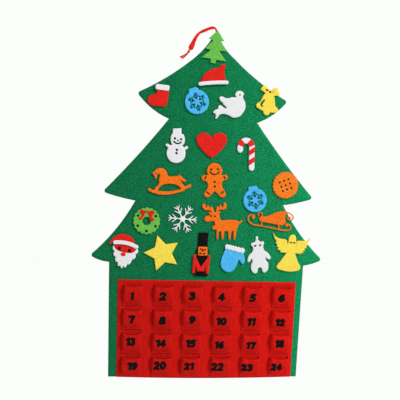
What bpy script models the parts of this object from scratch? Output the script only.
"""Felt advent calendar in the shape of a fir tree, made to hang on a wall.

A sheet of backing felt carries a panel with a grid of open-topped pockets. Above the panel are
felt ornaments, each held by a round hook pad and pulled straight off. X runs across the calendar,
Y points into the wall and Z points up. The origin is on the flat back of the backing felt, on its
centre line and at half its height. All sizes are in metres.
"""
import math

import bmesh
import bpy
from mathutils import Matrix

# Backing felt
TREE_HEIGHT = 1.000
TREE_WIDTH = 0.678
BACKING_THICK = 0.003
TIER_CORNER_RADIUS = 0.007
LAYER_GAP = 0.0003

# Ornaments, their hook pads and the felt trims sewn on them
ORNAMENT_THICK = 0.003
TRIM_THICK = 0.002
HOOK_THICK = 0.0015
HOOK_RADIUS = 0.009
HOOK_RADIUS_MEDIUM = 0.007
HOOK_RADIUS_SMALL = 0.0045

# Pocket panel
PANEL_HEIGHT = 0.2818
PANEL_THICK = 0.002
PANEL_SIDE_MARGIN = 0.0183
PANEL_SHIFT = 0.0027
PANEL_SAG = 0.004
PANEL_TAPER = 0.004

# Pockets
POCKET_COLUMNS = 6
POCKET_ROWS = 4
POCKET_TOP_MARGIN = 0.0138
POCKET_BOTTOM_MARGIN = 0.001
POCKET_END_MARGIN = 0.0103
POCKET_COLUMN_GAP = 0.0294
POCKET_ROW_GAP = 0.009
POCKET_THICK = 0.0018
POCKET_DEPTH = 0.0155
POCKET_SEAM = 0.003
POCKET_MOUTH_DIP = 0.0025
POCKET_SIDE_POWER = 2.5
POCKET_FULL_HEIGHT_SHARE = 0.45
POCKET_FACES_ACROSS = 8
POCKET_FACES_UP = 5

# Hanging ribbon
RIBBON_WIDTH = 0.006
RIBBON_THICK = 0.0004
RIBBON_KNOT_LENGTH = 0.011
RIBBON_KNOT_WIDTH = 0.008
RIBBON_KNOT_DEPTH = 0.0036
RIBBON_TAIL_NAMES = ("ribbon_left_tail", "ribbon_right_tail")

# Fineness of the round stretches
TURN_PER_STEP = math.radians(32)
ROUND_STEPS = 16
HOLE_STEPS = 6
KNOB_STEPS = 10
CAP_STEPS = 4
KNOT_LEVELS = 2
STROKE_LEAST_COSINE = 0.5
WELD_DISTANCE = 0.00001

BACKING_FRONT = -BACKING_THICK
PANEL_BACK = BACKING_FRONT - LAYER_GAP
PANEL_FRONT = PANEL_BACK - PANEL_THICK
HOOK_BACK = BACKING_FRONT - LAYER_GAP
ORNAMENT_BACK = HOOK_BACK - HOOK_THICK
ORNAMENT_FRONT = ORNAMENT_BACK - ORNAMENT_THICK
FIRST_TRIM_BACK = ORNAMENT_FRONT - LAYER_GAP
SECOND_TRIM_BACK = FIRST_TRIM_BACK - TRIM_THICK - LAYER_GAP
TREE_BOTTOM = -TREE_HEIGHT / 2
FIELD_HEIGHT = TREE_HEIGHT - PANEL_HEIGHT
FIELD_BOTTOM = TREE_BOTTOM + PANEL_HEIGHT

CORNER = "corner"

# The tree's two edges from the tip down, which the cloth hangs a little differently: the point in
# shares of half the width and of the height, and the bow of the edge that follows it in shares of
# the width, outward when positive.
TREE_RIGHT_EDGE_SHARES = [
    (0.0, 1.0, -0.0110),
    (0.155, 0.9225, -0.0100),
    (0.630, 0.808, 0.0105),
    (0.3766, 0.7426, -0.0059),
    (0.895, 0.5295, 0.0030),
    (0.6334, 0.5076, -0.0133),
    (1.0, 0.350, 0.0035),
    (0.8349, 0.3312, 0.0),
    (0.8142, 0.0, 0.0),
]
TREE_LEFT_EDGE_SHARES = [
    (0.0, 1.0, -0.0110),
    (0.229, 0.904, -0.0075),
    (0.647, 0.8125, 0.0120),
    (0.3766, 0.7426, -0.0059),
    (0.907, 0.530, 0.0030),
    (0.6334, 0.5076, -0.0133),
    (0.994, 0.3495, 0.0060),
    (0.8349, 0.3312, 0.0),
    (0.8142, 0.0, 0.0),
]
TRUNK_SHARE = 0.8142
TREE_ROUND_CORNERS = (2, 4, 6)

# Where each ornament sits: its middle and its size, across in shares of the tree's width from the
# centre line, and up in shares of the height of the field above the pocket panel.
ORNAMENT_BOX_SHARES = {
    "fir_tree": (-0.011, 0.932, 0.111, 0.135),
    "red_hat": (-0.009, 0.820, 0.133, 0.091),
    "stocking": (-0.235, 0.730, 0.100, 0.095),
    "left_bauble": (-0.074, 0.718, 0.108, 0.110),
    "dove": (0.063, 0.707, 0.145, 0.116),
    "bell": (0.229, 0.736, 0.109, 0.124),
    "snowman": (-0.151, 0.537, 0.099, 0.141),
    "heart": (-0.005, 0.545, 0.137, 0.104),
    "candy_cane": (0.145, 0.515, 0.084, 0.135),
    "rocking_horse": (-0.176, 0.395, 0.186, 0.113),
    "gingerbread": (0.013, 0.407, 0.117, 0.141),
    "biscuit": (0.322, 0.398, 0.122, 0.117),
    "right_bauble": (0.191, 0.337, 0.108, 0.110),
    "wreath": (-0.265, 0.236, 0.124, 0.118),
    "snowflake": (-0.117, 0.249, 0.128, 0.118),
    "reindeer": (0.052, 0.244, 0.181, 0.156),
    "sleigh": (0.263, 0.257, 0.212, 0.107),
    "bearded_face": (-0.355, 0.112, 0.130, 0.148),
    "star": (-0.201, 0.109, 0.150, 0.149),
    "toy_soldier": (-0.032, 0.109, 0.087, 0.184),
    "mitten": (0.105, 0.096, 0.115, 0.121),
    "bear": (0.219, 0.110, 0.111, 0.157),
    "angel": (0.369, 0.123, 0.192, 0.168),
}

# Outlines of the ornaments in shares of their boxes. A point marked CORNER is sharp, and the
# outline is curved through the others.
FIR_SHARES = [
    (0.623, 0.981), (0.888, 0.676), (0.726, 0.68), (0.992, 0.381), (0.706, 0.386),
    (0.982, 0.095), (0.607, 0.118), (0.578, 0.011), (0.386, 0.034), (0.394, 0.141),
    (0.031, 0.172), (0.38, 0.40), (0.163, 0.439), (0.459, 0.683), (0.295, 0.729),
]
HAT_SHARES = [
    (0.11, 0.13, CORNER), (0.107, 0.22), (0.15, 0.36), (0.20, 0.50), (0.28, 0.62), (0.38, 0.72),
    (0.50, 0.79), (0.60, 0.84), (0.70, 0.87, CORNER), (0.73, 0.955), (0.80, 1.0), (0.875, 0.96),
    (0.889, 0.87), (0.83, 0.755, CORNER), (0.87, 0.52), (0.893, 0.297), (0.90, 0.20, CORNER),
]
HAT_BRIM_LINE_SHARES = [(0.092, 0.10), (0.3, 0.145), (0.5, 0.18), (0.7, 0.205), (0.939, 0.222)]
HAT_BRIM_WIDTH_SHARE = 0.163
STOCKING_SHARES = [
    (0.405, 0.90, CORNER), (0.42, 0.676), (0.404, 0.548, CORNER), (0.308, 0.54), (0.18, 0.508),
    (0.084, 0.42), (0.049, 0.292), (0.084, 0.18), (0.18, 0.092), (0.292, 0.068), (0.516, 0.06),
    (0.748, 0.044), (0.836, 0.108), (0.876, 0.228), (0.9, 0.452), (0.932, 0.724),
    (0.935, 0.90, CORNER),
]
STOCKING_CUFF_SHARES = (0.665, 0.86, 0.62, 0.23)
STOCKING_CUFF_CORNER_SHARE = 0.075
BAUBLE_CENTRE_SHARES = (0.502, 0.449)
BAUBLE_RADIUS_SHARE = 0.471
BAUBLE_CAP_START = math.radians(133.4)
BAUBLE_CAP_END = math.radians(83)
BAUBLE_CAP_SHARES = [(0.524, 0.938), (0.47, 0.97), (0.423, 0.977), (0.16, 0.891)]
# Half of one twig cut out of the bauble: distance from the centre and sideways, in its radius.
BAUBLE_TWIG_SHARES = [
    (0.25, 0.0), (0.31, 0.055), (0.39, 0.055), (0.49, 0.20), (0.56, 0.15), (0.485, 0.05),
    (0.57, 0.05), (0.68, 0.20), (0.75, 0.14), (0.67, 0.045), (0.80, 0.03),
]
BAUBLE_TWIGS = 6
BAUBLE_TWIG_TURN = math.radians(-9)
RIGHT_BAUBLE_TURN = math.radians(-6)
DOVE_SHARES = [
    (0.698, 0.77, CORNER), (0.668, 0.842), (0.683, 0.932), (0.736, 0.986), (0.805, 1.0),
    (0.874, 0.977), (0.93, 0.905, CORNER), (0.904, 0.842), (0.904, 0.752), (0.958, 0.644),
    (0.983, 0.518), (0.973, 0.392), (0.92, 0.266), (0.836, 0.14), (0.729, 0.086), (0.637, 0.077),
    (0.546, 0.113), (0.47, 0.158), (0.378, 0.185), (0.287, 0.176), (0.21, 0.122), (0.157, 0.023),
    (0.111, 0.01), (0.12, 0.104), (0.104, 0.185, CORNER), (0.04, 0.212), (0.073, 0.284),
    (0.134, 0.334), (0.177, 0.347, CORNER), (0.187, 0.437), (0.241, 0.482), (0.305, 0.437),
    (0.363, 0.392), (0.409, 0.375), (0.42, 0.40), (0.348, 0.491), (0.294, 0.572), (0.233, 0.635),
    (0.206, 0.725), (0.233, 0.77), (0.302, 0.773), (0.378, 0.734), (0.47, 0.73), (0.546, 0.761),
]
DOVE_EYE_SHARES = (0.802, 0.854)
BELL_SHARES = [
    (0.314, 0.97, CORNER), (0.175, 0.816, CORNER), (0.379, 0.708, CORNER), (0.305, 0.623),
    (0.24, 0.515), (0.175, 0.415, CORNER), (0.082, 0.377), (0.036, 0.323), (0.064, 0.238),
    (0.193, 0.176), (0.323, 0.122, CORNER), (0.345, 0.055), (0.40, 0.01), (0.462, -0.003),
    (0.525, 0.01), (0.575, 0.05), (0.592, 0.091, CORNER), (0.768, 0.091), (0.917, 0.145),
    (0.92, 0.195), (0.805, 0.3), (0.768, 0.485), (0.731, 0.631, CORNER), (0.944, 0.639, CORNER),
    (0.95, 0.739), (0.88, 0.80), (0.88, 0.862), (0.778, 0.893), (0.68, 0.855),
    (0.592, 0.80, CORNER), (0.45, 0.90),
]
BELL_BOW_LEFT_SHARES = [(0.40, 0.815), (0.475, 0.785)]
BELL_BOW_RIGHT_SHARES = [(0.66, 0.747), (0.715, 0.747)]
BELL_KNOT_SHARES = (0.564, 0.744)
BELL_SLIT_SHARES = [(0.351, 0.485), (0.23, 0.315), (0.286, 0.261)]
SNOWMAN_SHARES = [
    (0.307, 0.971, CORNER), (0.665, 0.992, CORNER), (0.672, 0.845, CORNER),
    (0.735, 0.832, CORNER), (0.79, 0.785), (0.822, 0.71), (0.828, 0.63), (0.79, 0.55),
    (0.719, 0.508, CORNER), (0.80, 0.462, CORNER), (0.891, 0.50),
    (0.983, 0.477), (0.945, 0.425), (0.857, 0.394, CORNER), (0.873, 0.302), (0.857, 0.196),
    (0.777, 0.105), (0.639, 0.036), (0.479, 0.014), (0.295, 0.044), (0.158, 0.12),
    (0.085, 0.226), (0.078, 0.333), (0.135, 0.432, CORNER), (0.032, 0.485), (0.02, 0.53),
    (0.112, 0.546), (0.192, 0.515), (0.295, 0.515, CORNER), (0.238, 0.606), (0.222, 0.70),
    (0.245, 0.785), (0.293, 0.845, CORNER),
]
SNOWMAN_EYE_SHARES = [(0.398, 0.698), (0.662, 0.682)]
SNOWMAN_NOSE_SHARES = (0.529, 0.644)
SNOWMAN_MOUTH_SHARES = [(0.353, 0.622), (0.43, 0.575), (0.525, 0.561), (0.61, 0.573), (0.673, 0.606)]
SNOWMAN_BUTTON_SHARES = [(0.50, 0.381), (0.49, 0.29)]
HEART_SHARES = [
    (0.523, 0.0, CORNER), (0.70, 0.19), (0.883, 0.437), (0.975, 0.665), (0.95, 0.85),
    (0.85, 0.96), (0.72, 0.985), (0.592, 0.931), (0.50, 0.779, CORNER), (0.408, 0.903),
    (0.26, 0.955), (0.105, 0.90), (0.021, 0.732), (0.055, 0.551), (0.178, 0.342), (0.362, 0.133),
]
CANE_ARCH_SHARES = (0.474, 0.726)
CANE_ARCH_RADIUS_SHARE = 0.295
CANE_WIDTH_SHARE = 0.291
CANE_SHORT_END_SHARES = (0.178, 0.615)
CANE_LONG_END_SHARES = (0.80, 0.095)
HORSE_SHARES = [
    (0.105, 0.776), (0.138, 0.70), (0.157, 0.64), (0.171, 0.58), (0.192, 0.575), (0.206, 0.64),
    (0.222, 0.71), (0.25, 0.765, CORNER), (0.273, 0.72), (0.265, 0.62), (0.25, 0.52), (0.26, 0.43),
    (0.245, 0.37), (0.193, 0.29), (0.156, 0.175, CORNER), (0.097, 0.21), (0.045, 0.25),
    (0.015, 0.20), (0.037, 0.14), (0.127, 0.083), (0.245, 0.037), (0.394, 0.02), (0.543, 0.048),
    (0.692, 0.106), (0.811, 0.175), (0.90, 0.268), (0.985, 0.345), (0.985, 0.41), (0.93, 0.415),
    (0.856, 0.337, CORNER), (0.818, 0.383), (0.781, 0.464), (0.729, 0.58, CORNER), (0.77, 0.545),
    (0.82, 0.495), (0.868, 0.545), (0.833, 0.603), (0.789, 0.649), (0.751, 0.718), (0.714, 0.746),
    (0.67, 0.70, CORNER), (0.484, 0.672, CORNER), (0.454, 0.71), (0.439, 0.776), (0.409, 0.868),
    (0.357, 0.938), (0.298, 0.956), (0.231, 0.938), (0.171, 0.88), (0.134, 0.81),
]
HORSE_OPENING_SHARES = [
    (0.243, 0.165, CORNER), (0.26, 0.233), (0.305, 0.314), (0.365, 0.372), (0.439, 0.402),
    (0.543, 0.411), (0.632, 0.395), (0.707, 0.337), (0.765, 0.252, CORNER), (0.692, 0.222),
    (0.543, 0.171), (0.394, 0.152),
]
HORSE_EYE_SHARES = (0.185, 0.755)
GINGER_HEAD_SHARES = (0.49, 0.758)
GINGER_HEAD_RADIUS_SHARE = 0.282
GINGER_NECK_START = math.radians(-31)
GINGER_NECK_END = math.radians(216)
GINGER_BODY_SHARES = [
    (0.235, 0.63, CORNER), (0.134, 0.629), (0.03, 0.59), (0.03, 0.52), (0.095, 0.47),
    (0.21, 0.445), (0.25, 0.40), (0.26, 0.302), (0.202, 0.181), (0.134, 0.09), (0.183, 0.021),
    (0.27, 0.0), (0.348, 0.029), (0.532, 0.188, CORNER), (0.659, 0.09), (0.756, 0.021),
    (0.863, 0.022), (0.943, 0.105), (0.902, 0.181), (0.834, 0.257), (0.795, 0.333),
    (0.775, 0.42), (0.81, 0.475), (0.94, 0.523), (0.985, 0.591), (0.925, 0.66),
    (0.80, 0.64, CORNER),
]
GINGER_EYE_SHARES = [(0.363, 0.793), (0.606, 0.807)]
GINGER_MOUTH_SHARES = [(0.319, 0.736), (0.39, 0.675), (0.484, 0.652), (0.59, 0.68), (0.659, 0.743)]
GINGER_BUTTON_SHARES = [(0.509, 0.442), (0.519, 0.313)]
GINGER_SLIT_SHARES = [
    [(0.183, 0.599), (0.144, 0.508)], [(0.834, 0.614), (0.892, 0.538)],
    [(0.221, 0.158), (0.328, 0.09)], [(0.843, 0.181), (0.746, 0.112)],
]
BISCUIT_CENTRE_SHARES = (0.493, 0.484)
BISCUIT_RADIUS_SHARES = (0.437, 0.450)
BISCUIT_SCALLOP_SHARE = 0.028
BISCUIT_SCALLOPS = 24
BISCUIT_HOLE_PITCH_SHARE = 0.163
BISCUIT_HOLE_TURN = math.radians(22.5)
WREATH_CENTRE_SHARES = (0.487, 0.495)
WREATH_RADIUS_SHARE = 0.427
WREATH_SCALLOP_SHARE = 0.03
WREATH_SCALLOPS = 18
WREATH_HOLE_RADIUS_SHARE = 0.145
WREATH_HOLE_SCALLOPS = 9
WREATH_BERRIES = 5
WREATH_BERRY_RING_SHARE = 0.344
WREATH_BERRY_START = math.radians(-210)
WREATH_BERRY_STEP = math.radians(60)
WREATH_BOW_SHARES = [
    (0.31, 0.884), (0.27, 0.85), (0.262, 0.756), (0.333, 0.718, CORNER), (0.30, 0.63),
    (0.216, 0.60), (0.222, 0.555), (0.271, 0.531), (0.34, 0.565), (0.41, 0.69),
    (0.43, 0.76), (0.498, 0.775), (0.545, 0.733), (0.575, 0.64), (0.625, 0.50), (0.68, 0.49),
    (0.745, 0.54), (0.69, 0.62), (0.663, 0.694, CORNER), (0.729, 0.74), (0.726, 0.849),
    (0.60, 0.835), (0.498, 0.83), (0.40, 0.85),
]
SNOWFLAKE_CENTRE_SHARES = (0.508, 0.488)
SNOWFLAKE_ARMS = 6
SNOWFLAKE_TURN = math.radians(-3)
# Half of one arm of the snowflake: distance from the centre and sideways, in shares of its width.
SNOWFLAKE_ARM_SHARES = [
    (0.078, 0.045), (0.105, 0.026), (0.19, 0.026), (0.325, 0.137), (0.35, 0.137), (0.356, 0.112),
    (0.26, 0.026), (0.345, 0.026), (0.445, 0.106), (0.468, 0.104), (0.472, 0.08), (0.405, 0.022),
    (0.46, 0.022), (0.478, 0.0),
]
REINDEER_SHARES = [
    (0.085, 0.555), (0.082, 0.515), (0.11, 0.48), (0.17, 0.465), (0.23, 0.475),
    (0.305, 0.495, CORNER), (0.325, 0.455), (0.338, 0.39, CORNER), (0.285, 0.35), (0.275, 0.31),
    (0.29, 0.275), (0.34, 0.272), (0.375, 0.29, CORNER), (0.38, 0.20), (0.388, 0.030, CORNER),
    (0.42, 0.026, CORNER), (0.437, 0.222, CORNER), (0.485, 0.227, CORNER), (0.505, 0.029, CORNER),
    (0.55, 0.025, CORNER), (0.57, 0.233, CORNER), (0.655, 0.240, CORNER), (0.672, 0.031, CORNER),
    (0.71, 0.027, CORNER), (0.737, 0.236, CORNER), (0.778, 0.244, CORNER), (0.79, 0.032, CORNER),
    (0.83, 0.024, CORNER), (0.85, 0.16), (0.86, 0.28), (0.895, 0.40), (0.915, 0.435, CORNER),
    (0.955, 0.46), (0.985, 0.525), (0.965, 0.54), (0.93, 0.50), (0.895, 0.492, CORNER),
    (0.86, 0.52), (0.82, 0.535), (0.66, 0.533), (0.50, 0.515), (0.465, 0.535), (0.44, 0.61),
    (0.42, 0.675, CORNER), (0.455, 0.715), (0.46, 0.75), (0.405, 0.725, CORNER), (0.41, 0.765),
    (0.44, 0.785), (0.53, 0.79), (0.575, 0.82), (0.592, 0.87), (0.59, 0.94), (0.555, 0.98),
    (0.52, 0.95), (0.515, 0.89), (0.495, 0.845, CORNER), (0.477, 0.90), (0.455, 0.915),
    (0.435, 0.90), (0.42, 0.84, CORNER), (0.405, 0.86), (0.38, 0.875), (0.36, 0.85),
    (0.355, 0.79), (0.345, 0.72, CORNER), (0.31, 0.72, CORNER), (0.295, 0.79), (0.26, 0.85),
    (0.235, 0.865), (0.21, 0.84), (0.195, 0.81, CORNER), (0.177, 0.875), (0.155, 0.895),
    (0.135, 0.88), (0.125, 0.84), (0.10, 0.83, CORNER), (0.095, 0.90), (0.065, 0.94),
    (0.03, 0.92), (0.018, 0.86), (0.05, 0.80), (0.105, 0.765), (0.19, 0.765), (0.23, 0.745),
    (0.25, 0.71, CORNER), (0.18, 0.722), (0.168, 0.70), (0.20, 0.675), (0.22, 0.655, CORNER),
    (0.17, 0.625), (0.105, 0.60),
]
REINDEER_EYE_SHARES = [(0.235, 0.618), (0.324, 0.61)]
SLEIGH_BODY_SHARES = [
    (0.294, 0.588, CORNER), (0.257, 0.478), (0.31, 0.385), (0.485, 0.34), (0.662, 0.285),
    (0.765, 0.285), (0.81, 0.42), (0.794, 0.588), (0.809, 0.698), (0.846, 0.767), (0.75, 0.814),
    (0.662, 0.794), (0.544, 0.712), (0.412, 0.602),
]
SLEIGH_RUNNER_SHARES = [
    (0.147, 0.547), (0.15, 0.61), (0.11, 0.645), (0.06, 0.61), (0.036, 0.533), (0.051, 0.395),
    (0.117, 0.299), (0.323, 0.23), (0.559, 0.161), (0.75, 0.0925), (0.85, 0.085), (0.905, 0.135),
    (0.92, 0.21), (0.897, 0.285), (0.846, 0.30),
]
SLEIGH_RUNNER_KNOB_SHARES = [(0.142, 0.547), (0.835, 0.295)]
SLEIGH_STRUT_SHARES = [[(0.316, 0.42), (0.316, 0.235)], [(0.666, 0.34), (0.666, 0.13)]]
SLEIGH_REAR_CURL_SHARES = [
    (0.79, 0.765), (0.86, 0.76), (0.925, 0.70), (0.964, 0.61), (0.945, 0.51), (0.89, 0.48),
    (0.853, 0.54), (0.872, 0.60), (0.912, 0.57),
]
SLEIGH_FRONT_CURL_SHARES = [
    (0.30, 0.565), (0.318, 0.632), (0.315, 0.70), (0.286, 0.740), (0.252, 0.723), (0.237, 0.663),
    (0.247, 0.612),
]
SLEIGH_LINE_SHARE = 0.028
SLEIGH_CURL_SHARE = 0.025
SLEIGH_KNOB_SHARE = 0.036
# The beard is an oval, flat at the top, that narrows, drops and leans to the left below.
FACE_BEARD_CENTRE_SHARES = (0.54, 0.585)
FACE_BEARD_RADIUS_SHARES = (0.365, 0.40)
FACE_BEARD_TOP_SHARE = 0.11
FACE_BEARD_TOP_POWER = 4
FACE_BEARD_SCALLOP_SHARE = 0.05
FACE_BEARD_SCALLOPS = 17
FACE_BEARD_DROP_SHARE = 0.08
FACE_BEARD_LEAN_SHARE = 0.08
FACE_BEARD_NARROWING_SHARE = 0.22
FACE_HAT_SHARES = [
    (0.02, 0.70), (0.04, 0.76), (0.13, 0.863), (0.274, 0.946), (0.475, 0.972), (0.645, 0.931),
    (0.768, 0.84), (0.822, 0.734), (0.81, 0.66, CORNER), (0.50, 0.71), (0.22, 0.72, CORNER),
    (0.165, 0.78), (0.10, 0.74), (0.05, 0.695),
]
FACE_BRIM_LINE_SHARES = [(0.19, 0.745), (0.36, 0.75), (0.54, 0.735), (0.69, 0.705), (0.885, 0.635)]
FACE_BRIM_WIDTH_SHARE = 0.105
STAR_CENTRE_SHARES = (0.532, 0.497)
STAR_RADIUS_SHARE = 0.527
STAR_INNER_SHARE = 0.27
STAR_POINTS = 5
SOLDIER_SHARES = [
    (0.339, 0.967), (0.825, 0.967), (0.82, 0.66), (0.85, 0.60), (0.885, 0.53), (0.80, 0.52),
    (0.80, 0.47), (0.93, 0.465), (0.885, 0.04), (0.86, 0.04), (0.853, 0.005), (0.256, 0.02),
    (0.22, 0.05), (0.12, 0.05), (0.15, 0.475), (0.30, 0.475), (0.32, 0.52), (0.225, 0.535),
    (0.29, 0.60), (0.335, 0.66),
]
SOLDIER_COAT_SHARES = [
    (0.124, 0.485), (0.095, 0.078), (0.24, 0.078), (0.245, 0.26), (0.33, 0.122), (0.69, 0.122),
    (0.745, 0.25), (0.76, 0.07), (0.905, 0.07), (0.955, 0.475), (0.82, 0.475), (0.82, 0.42),
    (0.505, 0.218), (0.27, 0.42), (0.29, 0.485),
]
SOLDIER_FACE_SHARES = (0.577, 0.565, 0.46, 0.195)
SOLDIER_FACE_CORNER_SHARE = 0.06
MITTEN_SHARES = [
    (0.25, 0.85, CORNER), (0.19, 0.75), (0.144, 0.639), (0.083, 0.484), (0.052, 0.299),
    (0.092, 0.16), (0.213, 0.059), (0.385, 0.013), (0.523, 0.067), (0.627, 0.191), (0.678, 0.314),
    (0.704, 0.407), (0.739, 0.43), (0.782, 0.40), (0.816, 0.338), (0.895, 0.30), (0.948, 0.36),
    (0.955, 0.454), (0.928, 0.577), (0.89, 0.76, CORNER),
]
MITTEN_CUFF_SHARES = [
    (0.205, 0.795), (0.187, 0.86), (0.212, 0.935), (0.262, 0.962), (0.31, 0.952), (0.335, 0.935),
    (0.38, 0.948), (0.418, 0.936), (0.44, 0.914), (0.488, 0.928), (0.527, 0.913), (0.55, 0.89),
    (0.597, 0.904), (0.637, 0.888), (0.66, 0.865), (0.707, 0.88), (0.747, 0.864), (0.77, 0.843),
    (0.82, 0.857), (0.878, 0.845), (0.922, 0.805), (0.945, 0.745), (0.90, 0.678), (0.845, 0.66),
    (0.79, 0.672), (0.765, 0.693), (0.71, 0.68), (0.668, 0.70), (0.645, 0.719), (0.593, 0.704),
    (0.553, 0.726), (0.53, 0.745), (0.478, 0.73), (0.438, 0.75), (0.41, 0.769), (0.36, 0.756),
    (0.32, 0.775), (0.28, 0.795),
]
BEAR_SHARES = [
    (0.415, 0.905, CORNER), (0.435, 0.955), (0.38, 0.985), (0.33, 0.955), (0.34, 0.91, CORNER),
    (0.312, 0.838, CORNER), (0.244, 0.816), (0.175, 0.80), (0.168, 0.745), (0.233, 0.703),
    (0.244, 0.62), (0.221, 0.575), (0.12, 0.50), (0.055, 0.385), (0.085, 0.305), (0.15, 0.325),
    (0.221, 0.41, CORNER), (0.244, 0.335), (0.199, 0.23), (0.21, 0.124), (0.289, 0.042),
    (0.391, 0.019), (0.459, 0.057), (0.475, 0.139), (0.55, 0.18), (0.63, 0.139), (0.663, 0.072),
    (0.731, 0.045), (0.833, 0.087), (0.885, 0.169), (0.867, 0.29), (0.78, 0.38),
    (0.742, 0.448, CORNER), (0.81, 0.415), (0.91, 0.39), (0.962, 0.435), (0.92, 0.50),
    (0.821, 0.57), (0.708, 0.62), (0.651, 0.695), (0.651, 0.763), (0.679, 0.816), (0.618, 0.861),
    (0.54, 0.838, CORNER), (0.493, 0.861),
]
BEAR_EYE_SHARES = [(0.323, 0.733), (0.52, 0.753)]
ANGEL_SHARES = [
    (0.018, 0.973, CORNER), (0.07, 0.895), (0.159, 0.84), (0.29, 0.822), (0.345, 0.79),
    (0.352, 0.71, CORNER), (0.374, 0.76), (0.381, 0.861), (0.426, 0.925), (0.478, 0.938),
    (0.53, 0.909), (0.552, 0.83), (0.55, 0.76), (0.545, 0.70, CORNER), (0.565, 0.775),
    (0.61, 0.794), (0.76, 0.79), (0.81, 0.805), (0.886, 0.877, CORNER), (0.87, 0.82),
    (0.82, 0.76, CORNER), (0.835, 0.70), (0.79, 0.665, CORNER), (0.795, 0.62),
    (0.75, 0.60, CORNER), (0.765, 0.56), (0.71, 0.545, CORNER), (0.735, 0.505),
    (0.67, 0.50, CORNER), (0.695, 0.465, CORNER), (0.537, 0.479, CORNER), (0.62, 0.26),
    (0.68, 0.13), (0.619, 0.056), (0.47, 0.032), (0.307, 0.048), (0.173, 0.085), (0.126, 0.14),
    (0.15, 0.20), (0.25, 0.35), (0.344, 0.487, CORNER), (0.19, 0.50, CORNER),
    (0.205, 0.54, CORNER), (0.125, 0.57, CORNER), (0.155, 0.61, CORNER), (0.105, 0.645, CORNER),
    (0.125, 0.675, CORNER), (0.075, 0.735, CORNER), (0.10, 0.765, CORNER), (0.045, 0.86),
]
ANGEL_COLLAR_SHARES = [[(0.405, 0.742), (0.455, 0.738)], [(0.485, 0.735), (0.53, 0.739)]]

# Small cut-outs in the felt
EYE_RADIUS = 0.0024
NOSE_RADIUS = 0.0016
BUTTON_RADIUS = 0.0026
BERRY_RADIUS = 0.0034
MOUTH_WIDTH = 0.0025
SLIT_WIDTH = 0.0026

# Where each ornament's hook pad sits, in shares of its box, and the pad's radius.
HOOK_SHARES = {
    "fir_tree": (0.50, 0.30, HOOK_RADIUS),
    "red_hat": (0.56, 0.52, HOOK_RADIUS),
    "stocking": (0.60, 0.36, HOOK_RADIUS),
    "left_bauble": (0.502, 0.449, HOOK_RADIUS_MEDIUM),
    "dove": (0.65, 0.42, HOOK_RADIUS),
    "bell": (0.54, 0.40, HOOK_RADIUS),
    "snowman": (0.48, 0.16, HOOK_RADIUS),
    "heart": (0.50, 0.52, HOOK_RADIUS),
    "candy_cane": (0.785, 0.42, HOOK_RADIUS_MEDIUM),
    "rocking_horse": (0.42, 0.555, HOOK_RADIUS),
    "gingerbread": (0.655, 0.38, HOOK_RADIUS),
    "biscuit": (0.43, 0.80, HOOK_RADIUS_MEDIUM),
    "right_bauble": (0.502, 0.449, HOOK_RADIUS_MEDIUM),
    "wreath": (0.78, 0.495, HOOK_RADIUS),
    "snowflake": (0.508, 0.488, HOOK_RADIUS_SMALL),
    "reindeer": (0.66, 0.385, HOOK_RADIUS),
    "sleigh": (0.58, 0.53, HOOK_RADIUS),
    "bearded_face": (0.52, 0.36, HOOK_RADIUS),
    "star": (0.532, 0.497, HOOK_RADIUS),
    "toy_soldier": (0.53, 0.34, HOOK_RADIUS),
    "mitten": (0.38, 0.40, HOOK_RADIUS),
    "bear": (0.50, 0.42, HOOK_RADIUS),
    "angel": (0.45, 0.30, HOOK_RADIUS),
}

# The ribbon's route, across from the centre line and up from the tip of the tree.
RIBBON_ROUTE = [
    (-0.0012, -0.0150), (-0.0032, -0.0065), (-0.0056, 0.0002), (-0.0100, 0.0038),
    (-0.0165, 0.0034), (-0.0240, 0.0004), (-0.0370, -0.0056), (-0.0480, -0.0112),
    (-0.0570, -0.0212), (-0.0635, -0.0335), (-0.0697, -0.0490), (-0.0757, -0.0615),
]
RIBBON_KNOT_PLACE = (-0.0785, -0.0662)
RIBBON_KNOT_TURN = math.radians(60)
RIBBON_TAIL_ROUTES = [
    [(-0.0792, -0.0678), (-0.0860, -0.0733), (-0.0937, -0.0788), (-0.1020, -0.0828)],
    [(-0.0790, -0.0680), (-0.0842, -0.0757), (-0.0908, -0.0818), (-0.0975, -0.0862)],
]

COLOURS = {
    "backing_felt": (0.008, 0.195, 0.078),
    "panel_felt": (0.60, 0.010, 0.007),
    "light_green_felt": (0.148, 0.527, 0.078),
    "red_felt": (0.75, 0.018, 0.014),
    "blue_felt": (0.078, 0.485, 0.93),
    "orange_felt": (0.965, 0.198, 0.013),
    "biscuit_felt": (0.94, 0.255, 0.021),
    "yellow_felt": (0.94, 0.73, 0.084),
    "white_felt": (0.79, 0.80, 0.80),
    "black_felt": (0.007, 0.0055, 0.005),
    "ribbon_satin": (0.78, 0.010, 0.006),
}
FELT_ROUGHNESS = 0.95
SATIN_ROUGHNESS = 0.35


def clear_scene():
    """Remove what the file starts with."""
    for item in list(bpy.data.objects):
        bpy.data.objects.remove(item, do_unlink=True)


def collection(name):
    """A collection of that name in the scene."""
    group = bpy.data.collections.new(name)
    bpy.context.scene.collection.children.link(group)
    return group


def make_material(name, colour):
    """A Principled BSDF with the colour of one felt or of the satin."""
    material = bpy.data.materials.new(name)
    material.use_nodes = True
    shader = material.node_tree.nodes["Principled BSDF"]
    shader.inputs["Base Color"].default_value = (*colour, 1)
    shader.inputs["Metallic"].default_value = 0
    smooth = name == "ribbon_satin"
    shader.inputs["Roughness"].default_value = SATIN_ROUGHNESS if smooth else FELT_ROUGHNESS
    return material


clear_scene()
PARTS = collection("felt_advent_calendar")
CUTTERS = collection("joined_shapes")
MATERIALS = {name: make_material(name, colour) for name, colour in COLOURS.items()}


def unit(x, z):
    """The direction of (x, z)."""
    length = math.hypot(x, z)
    return (x / length, z / length)


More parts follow.
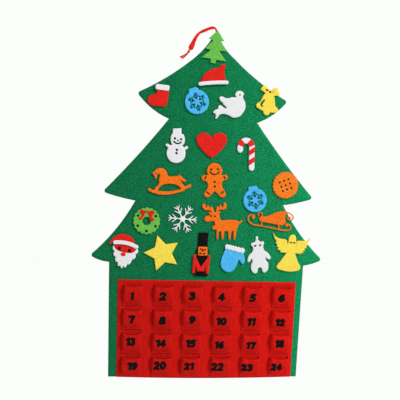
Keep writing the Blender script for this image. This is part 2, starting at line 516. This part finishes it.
def turn_between(first, second):
    """The angle between two directions."""
    dot = first[0] * second[0] + first[1] * second[1]
    return math.acos(max(-1, min(1, dot)))


def tangent(before, here, after):
    """The outline's direction at a point, led by its nearer neighbour."""
    to_here = math.dist(before, here)
    to_after = math.dist(here, after)
    back = unit(here[0] - before[0], here[1] - before[1])
    ahead = unit(after[0] - here[0], after[1] - here[1])
    return unit(back[0] * to_after + ahead[0] * to_here, back[1] * to_after + ahead[1] * to_here)


def bend(start, end, leave, arrive):
    """Points of a cubic curve from start up to end, more of them where it turns more."""
    span = math.dist(start, end)
    chord = unit(end[0] - start[0], end[1] - start[1])
    turn = turn_between(leave, chord) + turn_between(chord, arrive)
    steps = max(1, math.ceil(turn / TURN_PER_STEP))
    points = []
    for step in range(steps):
        t = step / steps
        from_start = (1 + 2 * t) * (1 - t) ** 2
        from_end = t * t * (3 - 2 * t)
        from_leave = t * (1 - t) ** 2 * span
        from_arrive = t * t * (t - 1) * span
        points.append(tuple(
            from_start * start[i] + from_end * end[i] + from_leave * leave[i] + from_arrive * arrive[i]
            for i in (0, 1)
        ))
    return points


def curved(marked_points, closed=True):
    """An outline through the points: sharp at those marked CORNER, curved at the others."""
    places = [point[:2] for point in marked_points]
    sharp = [len(point) == 3 for point in marked_points]
    count = len(places)
    outline = []
    for i in range(count if closed else count - 1):
        j = (i + 1) % count
        chord = unit(places[j][0] - places[i][0], places[j][1] - places[i][1])
        start_is_sharp = sharp[i] or (not closed and i == 0)
        end_is_sharp = sharp[j] or (not closed and j == count - 1)
        leave = chord if start_is_sharp else tangent(places[i - 1], places[i], places[j])
        arrive = chord if end_is_sharp else tangent(places[i], places[j], places[(j + 1) % count])
        outline += bend(places[i], places[j], leave, arrive)
    if not closed:
        outline.append(places[-1])
    return outline


def arc(centre, radius, start, end, steps):
    """Points on a circle from one angle to another."""
    angles = [start + (end - start) * step / steps for step in range(steps + 1)]
    return [(centre[0] + radius * math.cos(a), centre[1] + radius * math.sin(a)) for a in angles]


def ring(centre, radius, steps=ROUND_STEPS):
    """A closed circle."""
    return arc(centre, radius, 0, math.tau, steps)[:-1]


def scalloped(centre, radii, depth, scallops, turn=0):
    """A closed oval whose edge swells in round scallops."""
    points = []
    for step in range(scallops * 3):
        angle = math.tau * step / (scallops * 3) + turn
        swell = depth if step % 3 else 0
        points.append((
            centre[0] + (radii[0] + swell) * math.cos(angle),
            centre[1] + (radii[1] + swell) * math.sin(angle),
        ))
    return points


def stroke(line, width, round_ends=True):
    """The outline of a band of even width along an open line."""
    half = width / 2
    directions = [unit(b[0] - a[0], b[1] - a[1]) for a, b in zip(line, line[1:])]
    sides = ([], [])
    for i, (x, z) in enumerate(line):
        before = directions[max(i - 1, 0)]
        after = directions[min(i, len(directions) - 1)]
        along = unit(before[0] + after[0], before[1] + after[1])
        reach = half / max(STROKE_LEAST_COSINE, before[0] * along[0] + before[1] * along[1])
        sides[0].append((x - along[1] * reach, z + along[0] * reach))
        sides[1].append((x + along[1] * reach, z - along[0] * reach))
    outline = sides[0]
    if round_ends:
        outline += cap(line[-1], directions[-1], half)
    outline += reversed(sides[1])
    if round_ends:
        outline += cap(line[0], (-directions[0][0], -directions[0][1]), half)
    return outline


def cap(end, direction, radius):
    """The points of a band's round end, without the two corners that the band already has."""
    heading = math.atan2(direction[1], direction[0])
    quarter = math.pi / 2
    return arc(end, radius, heading + quarter, heading - quarter, CAP_STEPS)[1:-1]


def rounded_box(centre, width, height, radius, turn=0):
    """A rectangle with round corners, turned about its centre."""
    points = []
    for corner, (sx, sz) in enumerate(((1, 1), (-1, 1), (-1, -1), (1, -1))):
        middle = (sx * (width / 2 - radius), sz * (height / 2 - radius))
        start = corner * math.pi / 2
        points += arc(middle, radius, start, start + math.pi / 2, CAP_STEPS)
    return [add(centre, rotated(point, turn)) for point in points]


def add(first, second):
    """The sum of two places."""
    return (first[0] + second[0], first[1] + second[1])


def rotated(point, turn):
    """A place turned about the origin."""
    c, s = math.cos(turn), math.sin(turn)
    return (point[0] * c - point[1] * s, point[0] * s + point[1] * c)


def bowed(start, end, rise, steps):
    """Points from start up to end on an arc that rises to the left of the line."""
    if rise == 0:
        return [start]
    ahead = unit(end[0] - start[0], end[1] - start[1])
    points = []
    for step in range(steps):
        t = step / steps
        out = rise * 4 * t * (1 - t)
        points.append((
            start[0] + (end[0] - start[0]) * t - ahead[1] * out,
            start[1] + (end[1] - start[1]) * t + ahead[0] * out,
        ))
    return points


def fillet(before, corner, after, radius, steps):
    """The arc that rounds a corner."""
    back = unit(before[0] - corner[0], before[1] - corner[1])
    ahead = unit(after[0] - corner[0], after[1] - corner[1])
    half_angle = turn_between(back, ahead) / 2
    middle = unit(back[0] + ahead[0], back[1] + ahead[1])
    reach = radius / math.sin(half_angle)
    centre = (corner[0] + middle[0] * reach, corner[1] + middle[1] * reach)
    away = (-middle[0], -middle[1])
    side = (-back[0], -back[1])
    sweep = math.pi / 2 - half_angle
    sign = 1 if side[0] * away[1] - side[1] * away[0] > 0 else -1
    heading = math.atan2(away[1], away[0])
    return arc(centre, radius, heading + sign * sweep, heading - sign * sweep, steps)


def flat_piece(name, outlines, thick, back, place, group, material):
    """A sheet of even thickness, standing in the XZ plane, whose later outlines are holes."""
    curve = bpy.data.curves.new(name, "CURVE")
    curve.dimensions = "2D"
    curve.fill_mode = "BOTH"
    curve.extrude = thick / 2
    for outline in outlines:
        spline = curve.splines.new("POLY")
        spline.points.add(len(outline) - 1)
        for point, (x, z) in zip(spline.points, outline):
            point.co = (x, z, 0, 1)
        spline.use_cyclic_u = True
    if material:
        curve.materials.append(MATERIALS[material])
    piece = bpy.data.objects.new(name, curve)
    piece.matrix_world = sheet_frame(place, back - thick / 2)
    group.objects.link(piece)
    return as_mesh(piece)


def sheet_frame(place, y):
    """The frame that stands a flat outline up at a place on the calendar."""
    return Matrix.Translation((place[0], y, place[1])) @ Matrix.Rotation(math.pi / 2, 4, "X")


def as_mesh(piece):
    """The same piece as a mesh whose caps are welded to its sides."""
    bpy.context.view_layer.update()
    depsgraph = bpy.context.evaluated_depsgraph_get()
    mesh = bpy.data.meshes.new_from_object(piece.evaluated_get(depsgraph))
    work = bmesh.new()
    work.from_mesh(mesh)
    bmesh.ops.remove_doubles(work, verts=work.verts, dist=WELD_DISTANCE)
    bmesh.ops.recalc_face_normals(work, faces=work.faces)
    work.to_mesh(mesh)
    work.free()
    name, frame, groups = piece.name, piece.matrix_world.copy(), piece.users_collection
    bpy.data.objects.remove(piece, do_unlink=True)
    mesh.name = name
    solid = bpy.data.objects.new(name, mesh)
    solid.matrix_world = frame
    for group in groups:
        group.objects.link(solid)
    return solid


def join(solid, other):
    """Add the other shape to a solid, with the other kept as a hidden guide."""
    other.display_type = "WIRE"
    other.hide_render = True
    union = solid.modifiers.new(other.name, "BOOLEAN")
    union.operation = "UNION"
    union.solver = "EXACT"
    union.object = other


def hook_pad(name, radius, place):
    """The round pad on an ornament's back, which reaches half way into its felt."""
    depth = HOOK_THICK + ORNAMENT_THICK / 2
    bpy.ops.mesh.primitive_cylinder_add(vertices=ROUND_STEPS, radius=radius, depth=depth)
    pad = bpy.context.object
    pad.name = name
    pad.matrix_world = sheet_frame(place, HOOK_BACK - depth / 2)
    for group in list(pad.users_collection):
        group.objects.unlink(pad)
    CUTTERS.objects.link(pad)
    return pad


class Box:
    """An ornament's place on the calendar, which turns shares of its size into lengths."""

    def __init__(self, name):
        across, up, width, height = ORNAMENT_BOX_SHARES[name]
        self.name = name
        self.width = width * TREE_WIDTH
        self.height = height * FIELD_HEIGHT
        self.place = (across * TREE_WIDTH, FIELD_BOTTOM + up * FIELD_HEIGHT)

    def at(self, shares):
        """One place in the box, from its centre."""
        return ((shares[0] - 0.5) * self.width, (shares[1] - 0.5) * self.height)

    def points(self, table):
        """A list of places in the box, with their corner marks."""
        return [(*self.at(row), *row[2:]) for row in table]

    def holes(self, table, radius):
        """Round cut-outs at places in the box."""
        return [ring(self.at(row), radius, HOLE_STEPS) for row in table]

    def slit(self, table, width):
        """A cut-out of even width along places in the box."""
        return stroke(self.points(table), width, round_ends=False)

    def piece(self, name, outlines, material, thick=ORNAMENT_THICK, back=ORNAMENT_BACK):
        """A sheet of felt in the box."""
        return flat_piece(name, outlines, thick, back, self.place, PARTS, material)

    def guide(self, name, outline):
        """A hidden shape of the ornament's own thickness, to be joined to it."""
        return flat_piece(name, [outline], ORNAMENT_THICK, ORNAMENT_BACK, self.place, CUTTERS, None)

    def ornament(self, outlines, material, guides=()):
        """The ornament itself: its felt, the shapes joined to it and its hook pad."""
        solid = self.piece(self.name, outlines, material)
        for guide in guides:
            join(solid, guide)
        across, up, radius = HOOK_SHARES[self.name]
        place = add(self.place, self.at((across, up)))
        join(solid, hook_pad(self.name + "_hook_pad", radius, place))
        return solid

    def trim(self, name, outline, material, back=FIRST_TRIM_BACK):
        """A thinner felt piece sewn on the ornament's front."""
        return self.piece(name, [outline], material, TRIM_THICK, back)


def tree_edge(table):
    """One edge of the tree from the tip down, as if it were the right one."""
    half = TREE_WIDTH / 2
    stretches = []
    for row, following in zip(table, table[1:]):
        start = (row[0] * half, TREE_BOTTOM + row[1] * TREE_HEIGHT)
        end = (following[0] * half, TREE_BOTTOM + following[1] * TREE_HEIGHT)
        stretches.append(bowed(start, end, row[2] * TREE_WIDTH, ROUND_STEPS // 2))
    last = table[-1]
    stretches.append([(last[0] * half, TREE_BOTTOM + last[1] * TREE_HEIGHT)])
    edge = []
    for i, stretch in enumerate(stretches):
        if i in TREE_ROUND_CORNERS:
            edge += fillet(edge[-1], stretch[0], stretch[1], TIER_CORNER_RADIUS, CAP_STEPS)
            edge += stretch[1:]
        else:
            edge += stretch
    return edge


def tree_outline():
    """The backing's outline, down the left side from the tip and back up the right."""
    left = [(-x, z) for x, z in tree_edge(TREE_LEFT_EDGE_SHARES)]
    return left[1:] + tree_edge(TREE_RIGHT_EDGE_SHARES)[::-1]


def make_backing():
    """The tree-shaped sheet that everything is sewn to or sticks to."""
    flat_piece("tree_backing", [tree_outline()], BACKING_THICK, 0, (0, 0), PARTS, "backing_felt")


def panel_half_width():
    """Half the width of the pocket panel at its middle height."""
    return TRUNK_SHARE * TREE_WIDTH / 2 - PANEL_SIDE_MARGIN


def make_panel():
    """The red sheet behind the pockets, whose lower edge sags a little."""
    half = panel_half_width()
    top, bottom = half + PANEL_TAPER / 2, half - PANEL_TAPER / 2
    hem = bowed((-bottom, 0), (bottom, 0), -PANEL_SAG, ROUND_STEPS)
    outline = hem + [(bottom, 0), (top, PANEL_HEIGHT), (-top, PANEL_HEIGHT)]
    place = (PANEL_SHIFT, TREE_BOTTOM)
    flat_piece("pocket_panel", [outline], PANEL_THICK, PANEL_BACK, place, PARTS, "panel_felt")


def make_pocket(name, middle, bottom, width, height):
    """An open-topped pocket, sewn flat at its sides and bottom and standing out between them."""
    work = bmesh.new()
    bmesh.ops.create_grid(work, x_segments=POCKET_FACES_ACROSS, y_segments=POCKET_FACES_UP, size=1)
    across_step, up_step = 2 / POCKET_FACES_ACROSS, 2 / POCKET_FACES_UP
    inner_half = width / 2 - POCKET_SEAM
    inner_height = height - POCKET_SEAM
    for vert in work.verts:
        side = max(-1, min(1, vert.co.x / (1 - across_step)))
        rise = max(0, (vert.co.y + 1 - up_step) / (2 - up_step))
        across = math.sin(side * math.pi / 2)
        up = 1 - math.cos(rise * math.pi / 2)
        x = across * inner_half
        if abs(vert.co.x) > 1 - across_step / 2:
            x = math.copysign(width / 2, side)
        z = POCKET_SEAM + up * inner_height
        if vert.co.y < -1 + up_step / 2:
            z = 0
        arch = max(0, 1 - abs(across) ** POCKET_SIDE_POWER) ** 0.5
        fullness = math.sin(min(1, up / POCKET_FULL_HEIGHT_SHARE) * math.pi / 2)
        z -= POCKET_MOUTH_DIP * arch * up ** 2
        vert.co = (x, -POCKET_DEPTH * arch * fullness, z)
    mesh = bpy.data.meshes.new(name)
    work.to_mesh(mesh)
    work.free()
    mesh.materials.append(MATERIALS["panel_felt"])
    pocket = bpy.data.objects.new(name, mesh)
    pocket.location = (middle, PANEL_FRONT - LAYER_GAP, bottom)
    PARTS.objects.link(pocket)
    wall = pocket.modifiers.new("felt", "SOLIDIFY")
    wall.thickness = POCKET_THICK
    wall.offset = 1
    wall.use_even_offset = True


def make_pockets():
    """The grid of pockets, numbered from the top left."""
    pocket_span = 2 * (panel_half_width() - POCKET_END_MARGIN) + POCKET_COLUMN_GAP
    column_pitch = pocket_span / POCKET_COLUMNS
    rows_span = PANEL_HEIGHT - POCKET_TOP_MARGIN - POCKET_BOTTOM_MARGIN + POCKET_ROW_GAP
    row_pitch = rows_span / POCKET_ROWS
    width = column_pitch - POCKET_COLUMN_GAP
    height = row_pitch - POCKET_ROW_GAP
    for row in range(POCKET_ROWS):
        bottom = TREE_BOTTOM + POCKET_BOTTOM_MARGIN + (POCKET_ROWS - 1 - row) * row_pitch
        for column in range(POCKET_COLUMNS):
            middle = PANEL_SHIFT + (column - (POCKET_COLUMNS - 1) / 2) * column_pitch
            number = row * POCKET_COLUMNS + column + 1
            make_pocket(f"pocket_{number:02d}", middle, bottom, width, height)


def make_fir_tree():
    """The small light green tree at the tip."""
    box = Box("fir_tree")
    box.ornament([[box.at(row) for row in FIR_SHARES]], "light_green_felt")


def make_red_hat():
    """The red hat with its white brim."""
    box = Box("red_hat")
    box.ornament([curved(box.points(HAT_SHARES))], "red_felt")
    line = curved(box.points(HAT_BRIM_LINE_SHARES), closed=False)
    box.trim("red_hat_brim", stroke(line, HAT_BRIM_WIDTH_SHARE * box.height), "white_felt")


def make_stocking():
    """The red stocking with its white cuff."""
    box = Box("stocking")
    box.ornament([curved(box.points(STOCKING_SHARES))], "red_felt")
    across, up, width, height = STOCKING_CUFF_SHARES
    outline = rounded_box(
        box.at((across, up)), width * box.width, height * box.height,
        STOCKING_CUFF_CORNER_SHARE * box.width,
    )
    box.trim("stocking_cuff", outline, "white_felt")


def make_bauble(name, turn):
    """A blue bauble with a six-armed snow crystal cut out of it."""
    box = Box(name)
    centre = box.at(BAUBLE_CENTRE_SHARES)
    radius = BAUBLE_RADIUS_SHARE * box.width
    sweep_end = BAUBLE_CAP_END + math.tau
    outline = arc(centre, radius, BAUBLE_CAP_START, sweep_end, 2 * ROUND_STEPS)
    outline += [box.at(row) for row in BAUBLE_CAP_SHARES]
    half = [(along * radius, side * radius) for along, side in BAUBLE_TWIG_SHARES]
    twig = half + [(along, -side) for along, side in reversed(half[1:])]
    holes = []
    for i in range(BAUBLE_TWIGS):
        heading = BAUBLE_TWIG_TURN + math.tau * i / BAUBLE_TWIGS
        holes.append([add(centre, rotated(point, heading)) for point in twig])
    turned = [
        [add(centre, rotated((x - centre[0], z - centre[1]), turn)) for x, z in points]
        for points in [outline] + holes
    ]
    box.ornament(turned, "blue_felt")


def make_dove():
    """The white dove with its slit wing."""
    box = Box("dove")
    eye = box.holes([DOVE_EYE_SHARES], EYE_RADIUS)
    box.ornament([curved(box.points(DOVE_SHARES))] + eye, "white_felt")


def make_bell():
    """The yellow bell under a bow."""
    box = Box("bell")
    cuts = box.holes([BELL_KNOT_SHARES], EYE_RADIUS)
    cuts += [box.slit(row, SLIT_WIDTH) for row in (BELL_BOW_LEFT_SHARES, BELL_BOW_RIGHT_SHARES)]
    cuts.append(box.slit(BELL_SLIT_SHARES, SLIT_WIDTH))
    box.ornament([curved(box.points(BELL_SHARES))] + cuts, "yellow_felt")


def make_snowman():
    """The snowman with its eyes, nose, mouth and buttons cut out."""
    box = Box("snowman")
    cuts = box.holes(SNOWMAN_EYE_SHARES, EYE_RADIUS) + box.holes([SNOWMAN_NOSE_SHARES], NOSE_RADIUS)
    cuts += box.holes(SNOWMAN_BUTTON_SHARES, BUTTON_RADIUS)
    cuts.append(box.slit(SNOWMAN_MOUTH_SHARES, MOUTH_WIDTH))
    box.ornament([curved(box.points(SNOWMAN_SHARES))] + cuts, "white_felt")


def make_heart():
    """The red heart."""
    box = Box("heart")
    box.ornament([curved(box.points(HEART_SHARES))], "red_felt")


def make_candy_cane():
    """The crook-shaped candy cane."""
    box = Box("candy_cane")
    centre = box.at(CANE_ARCH_SHARES)
    radius = CANE_ARCH_RADIUS_SHARE * box.width
    line = [box.at(CANE_SHORT_END_SHARES)]
    line += arc(centre, radius, math.pi, 0, ROUND_STEPS // 2)
    line.append(box.at(CANE_LONG_END_SHARES))
    box.ornament([stroke(line, CANE_WIDTH_SHARE * box.width)], "white_felt")


def make_rocking_horse():
    """The rocking horse with the opening above its rocker."""
    box = Box("rocking_horse")
    cuts = [curved(box.points(HORSE_OPENING_SHARES))] + box.holes([HORSE_EYE_SHARES], NOSE_RADIUS)
    box.ornament([curved(box.points(HORSE_SHARES))] + cuts, "orange_felt")


def make_gingerbread():
    """The gingerbread figure with its cut-out face, buttons and icing lines."""
    box = Box("gingerbread")
    head = arc(
        box.at(GINGER_HEAD_SHARES), GINGER_HEAD_RADIUS_SHARE * box.width,
        GINGER_NECK_START, GINGER_NECK_END, ROUND_STEPS,
    )
    outline = head + curved(box.points(GINGER_BODY_SHARES), closed=False)
    cuts = box.holes(GINGER_EYE_SHARES, EYE_RADIUS) + box.holes(GINGER_BUTTON_SHARES, BUTTON_RADIUS)
    cuts += [box.slit(row, MOUTH_WIDTH) for row in [GINGER_MOUTH_SHARES] + GINGER_SLIT_SHARES]
    box.ornament([outline] + cuts, "orange_felt")


def make_biscuit():
    """The round biscuit with a scalloped edge and three rows of three holes."""
    box = Box("biscuit")
    centre = box.at(BISCUIT_CENTRE_SHARES)
    radii = [share * box.width for share in BISCUIT_RADIUS_SHARES]
    depth = BISCUIT_SCALLOP_SHARE * box.width
    outline = scalloped(centre, radii, depth, BISCUIT_SCALLOPS)
    pitch = BISCUIT_HOLE_PITCH_SHARE * box.width
    cuts = []
    for column in (-1, 0, 1):
        for row in (-1, 0, 1):
            offset = rotated((column * pitch, row * pitch), BISCUIT_HOLE_TURN)
            cuts.append(ring(add(centre, offset), BUTTON_RADIUS, HOLE_STEPS))
    box.ornament([outline] + cuts, "biscuit_felt")


def make_wreath():
    """The light green wreath with its berries cut out and a red bow on it."""
    box = Box("wreath")
    centre = box.at(WREATH_CENTRE_SHARES)
    radius = WREATH_RADIUS_SHARE * box.width
    depth = WREATH_SCALLOP_SHARE * box.width
    hole = WREATH_HOLE_RADIUS_SHARE * box.width
    cuts = [scalloped(centre, (hole, hole), -depth / 2, WREATH_HOLE_SCALLOPS)]
    for i in range(WREATH_BERRIES):
        heading = WREATH_BERRY_START + i * WREATH_BERRY_STEP
        place = rotated((WREATH_BERRY_RING_SHARE * box.width, 0), heading)
        cuts.append(ring(add(centre, place), BERRY_RADIUS, HOLE_STEPS))
    outline = scalloped(centre, (radius, radius), depth, WREATH_SCALLOPS)
    box.ornament([outline] + cuts, "light_green_felt")
    box.trim("wreath_bow", curved(box.points(WREATH_BOW_SHARES)), "red_felt")


def make_snowflake():
    """The white six-armed snowflake."""
    box = Box("snowflake")
    centre = box.at(SNOWFLAKE_CENTRE_SHARES)
    half = [(along * box.width, side * box.width) for along, side in SNOWFLAKE_ARM_SHARES]
    arm = [(along, -side) for along, side in half[:-1]] + half[:0:-1]
    outline = []
    for i in range(SNOWFLAKE_ARMS):
        heading = SNOWFLAKE_TURN + math.tau * i / SNOWFLAKE_ARMS
        outline += [add(centre, rotated(point, heading)) for point in arm]
    box.ornament([outline], "white_felt")


def make_reindeer():
    """The reindeer with its antlers."""
    box = Box("reindeer")
    eyes = box.holes(REINDEER_EYE_SHARES, NOSE_RADIUS)
    box.ornament([curved(box.points(REINDEER_SHARES))] + eyes, "orange_felt")


def make_sleigh():
    """The sleigh: its body, runner, struts and curls, joined into one piece of felt."""
    box = Box("sleigh")
    line = SLEIGH_LINE_SHARE * box.width
    curl = SLEIGH_CURL_SHARE * box.width
    knob = SLEIGH_KNOB_SHARE * box.width
    runner = curved(box.points(SLEIGH_RUNNER_SHARES), closed=False)
    guides = [box.guide("sleigh_runner", stroke(runner, line))]
    for i, row in enumerate(SLEIGH_STRUT_SHARES):
        guides.append(box.guide(f"sleigh_strut_{i}", box.slit(row, line)))
    curls = (SLEIGH_REAR_CURL_SHARES, SLEIGH_FRONT_CURL_SHARES)
    for i, row in enumerate(curls):
        path = curved(box.points(row), closed=False)
        guides.append(box.guide(f"sleigh_curl_{i}", stroke(path, curl)))
    for i, row in enumerate(SLEIGH_RUNNER_KNOB_SHARES):
        guides.append(box.guide(f"sleigh_knob_{i}", ring(box.at(row), knob, KNOB_STEPS)))
    box.ornament([curved(box.points(SLEIGH_BODY_SHARES))], "orange_felt", guides)


def make_bearded_face():
    """The bearded face with its red hat and white brim."""
    box = Box("bearded_face")
    radii = (FACE_BEARD_RADIUS_SHARES[0] * box.width, FACE_BEARD_RADIUS_SHARES[1] * box.height)
    depth = FACE_BEARD_SCALLOP_SHARE * box.width
    drop = FACE_BEARD_DROP_SHARE * box.height
    top = FACE_BEARD_TOP_SHARE * box.height
    lean = FACE_BEARD_LEAN_SHARE * box.width
    oval = scalloped((0, 0), radii, depth, FACE_BEARD_SCALLOPS)
    beard = []
    for x, z in oval:
        if z > 0:
            side = abs(x) / (radii[0] + depth)
            z = top * (1 - side ** FACE_BEARD_TOP_POWER) ** (1 / FACE_BEARD_TOP_POWER)
        share = max(0, -z / radii[1])
        narrowing = 1 - FACE_BEARD_NARROWING_SHARE * share ** 2
        beard.append((x * narrowing - lean * share ** 2, z - drop * share ** 2))
    centre = box.at(FACE_BEARD_CENTRE_SHARES)
    box.ornament([[add(centre, point) for point in beard]], "white_felt")
    box.trim("bearded_face_hat", curved(box.points(FACE_HAT_SHARES)), "red_felt")
    line = curved(box.points(FACE_BRIM_LINE_SHARES), closed=False)
    brim = stroke(line, FACE_BRIM_WIDTH_SHARE * box.height)
    box.trim("bearded_face_brim", brim, "white_felt", SECOND_TRIM_BACK)


def make_star():
    """The yellow five-pointed star, one point to the left."""
    box = Box("star")
    centre = box.at(STAR_CENTRE_SHARES)
    radii = (STAR_RADIUS_SHARE * box.width, STAR_INNER_SHARE * box.width)
    outline = []
    for i in range(2 * STAR_POINTS):
        heading = math.pi + math.pi * i / STAR_POINTS
        outline.append(add(centre, rotated((radii[i % 2], 0), heading)))
    box.ornament([outline], "yellow_felt")


def make_toy_soldier():
    """The toy soldier: black felt with a red coat and an orange face on it."""
    box = Box("toy_soldier")
    box.ornament([[box.at(row) for row in SOLDIER_SHARES]], "black_felt")
    coat = [box.at(row) for row in SOLDIER_COAT_SHARES]
    box.trim("toy_soldier_coat", coat, "red_felt")
    across, up, width, height = SOLDIER_FACE_SHARES
    face = rounded_box(
        box.at((across, up)), width * box.width, height * box.height,
        SOLDIER_FACE_CORNER_SHARE * box.width,
    )
    box.trim("toy_soldier_face", face, "orange_felt")


def make_mitten():
    """The blue mitten with its white cuff."""
    box = Box("mitten")
    box.ornament([curved(box.points(MITTEN_SHARES))], "blue_felt")
    box.trim("mitten_cuff", curved(box.points(MITTEN_CUFF_SHARES)), "white_felt")


def make_bear():
    """The white bear."""
    box = Box("bear")
    eyes = box.holes(BEAR_EYE_SHARES, EYE_RADIUS)
    box.ornament([curved(box.points(BEAR_SHARES))] + eyes, "white_felt")


def make_angel():
    """The yellow angel with feathered wings."""
    box = Box("angel")
    collar = [box.slit(row, MOUTH_WIDTH) for row in ANGEL_COLLAR_SHARES]
    box.ornament([curved(box.points(ANGEL_SHARES))] + collar, "yellow_felt")


def make_ornaments():
    """All the ornaments, from the tip down."""
    make_fir_tree()
    make_red_hat()
    make_stocking()
    make_bauble("left_bauble", 0)
    make_dove()
    make_bell()
    make_snowman()
    make_heart()
    make_candy_cane()
    make_rocking_horse()
    make_gingerbread()
    make_biscuit()
    make_bauble("right_bauble", RIGHT_BAUBLE_TURN)
    make_wreath()
    make_snowflake()
    make_reindeer()
    make_sleigh()
    make_bearded_face()
    make_star()
    make_toy_soldier()
    make_mitten()
    make_bear()
    make_angel()


def make_ribbon():
    """The doubled hanging ribbon: two strands and the knot that joins them, with its two tails."""
    tip = (0, TREE_BOTTOM + TREE_HEIGHT)
    route = stroke(curved(RIBBON_ROUTE, closed=False), RIBBON_WIDTH, round_ends=False)
    back = BACKING_FRONT - LAYER_GAP
    front = back - RIBBON_THICK - LAYER_GAP
    for name, y in (("ribbon_back_strand", back), ("ribbon_front_strand", front)):
        flat_piece(name, [route], RIBBON_THICK, y, tip, PARTS, "ribbon_satin")
    knot = make_ribbon_knot(tip, (back + front - RIBBON_THICK) / 2)
    for name, row, y in zip(RIBBON_TAIL_NAMES, RIBBON_TAIL_ROUTES, (back, front)):
        outline = stroke(curved(row, closed=False), RIBBON_WIDTH, round_ends=False)
        join(knot, flat_piece(name, [outline], RIBBON_THICK, y, tip, CUTTERS, None))


def make_ribbon_knot(tip, y):
    """The soft knot, from a coarse cage."""
    bpy.ops.mesh.primitive_cube_add(size=1)
    knot = bpy.context.object
    knot.name = "ribbon_knot"
    knot.data.transform(Matrix.Diagonal((
        RIBBON_KNOT_LENGTH, RIBBON_KNOT_DEPTH, RIBBON_KNOT_WIDTH, 1,
    )))
    knot.data.materials.append(MATERIALS["ribbon_satin"])
    knot.rotation_euler.y = -RIBBON_KNOT_TURN
    place = add(tip, RIBBON_KNOT_PLACE)
    knot.location = (place[0], y, place[1])
    cage = knot.modifiers.new("soft", "SUBSURF")
    cage.levels = KNOT_LEVELS
    cage.render_levels = KNOT_LEVELS
    for group in list(knot.users_collection):
        group.objects.unlink(knot)
    PARTS.objects.link(knot)
    return knot


make_backing()
make_panel()
make_pockets()
make_ornaments()
make_ribbon()
